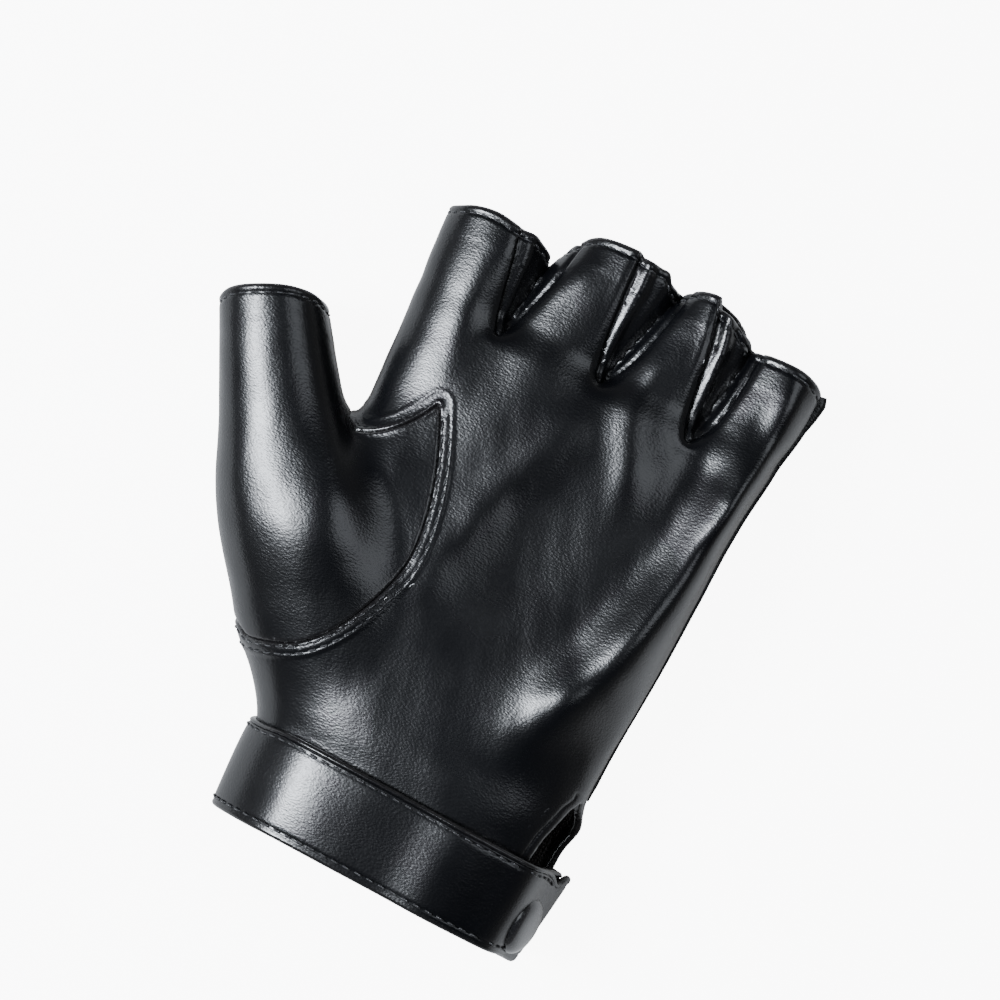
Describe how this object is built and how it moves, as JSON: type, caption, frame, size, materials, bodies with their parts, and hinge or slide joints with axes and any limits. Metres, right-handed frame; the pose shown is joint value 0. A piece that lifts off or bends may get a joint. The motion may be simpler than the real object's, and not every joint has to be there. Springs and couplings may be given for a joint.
{
  "type": "fingerless glove",
  "caption": "Left fingerless glove in black leather with cut-off finger and thumb stalls, a set-in thumb and a snap tab at the wrist.",
  "frame": {"origin": "centre of the wrist opening, in the plane of the cuff's lower edge", "axes": "+Y from the wrist to the fingertips, +X to the little-finger side, +Z out of the palm; the glove lies on its back, palm up"},
  "size_m": [0.1342, 0.154, 0.0409],
  "materials": {
    "leather": "smooth black, soft sheen, fine grain",
    "turned_leather": "black, turned-in edges and facings",
    "thread": "black sewing thread",
    "cap_enamel": "glossy black enamel",
    "snap_metal": "dark nickel"
  },
  "bodies": {
    "glove": {"trank": "leather", "thumb": "leather", "fourchette_index_middle": "leather", "fourchette_middle_ring": "leather", "fourchette_ring_little": "leather", "cuff_band": "leather", "side_seam": "leather", "index_hem": "turned_leather", "middle_hem": "turned_leather", "ring_hem": "turned_leather", "little_hem": "turned_leather", "thumb_hem": "turned_leather", "cuff_facing": "turned_leather", "vent_binding": "turned_leather", "index_hem_stitch": "thread", "middle_hem_stitch": "thread", "ring_hem_stitch": "thread", "little_hem_stitch": "thread", "thumb_hem_stitch": "thread", "thumb_seam_stitch_inner": "thread", "thumb_seam_stitch_outer": "thread", "cuff_top_stitch": "thread", "cuff_bottom_stitch": "thread", "snap_stud": "snap_metal", "snap_eyelet": "snap_metal"},
    "wrist_tab": {"strap_tab": "leather", "strap_facing": "turned_leather", "snap_cap": "cap_enamel", "snap_socket": "snap_metal", "strap_stitch": "thread"}
  },
  "joints": [
    {"name": "tab_fold", "type": "hinge", "parent": "glove", "child": "wrist_tab", "pos_m": [0.03179, 0.011, 0.01289], "axis": [0, -1, 0], "range_deg": [0, 100]}
  ]
}
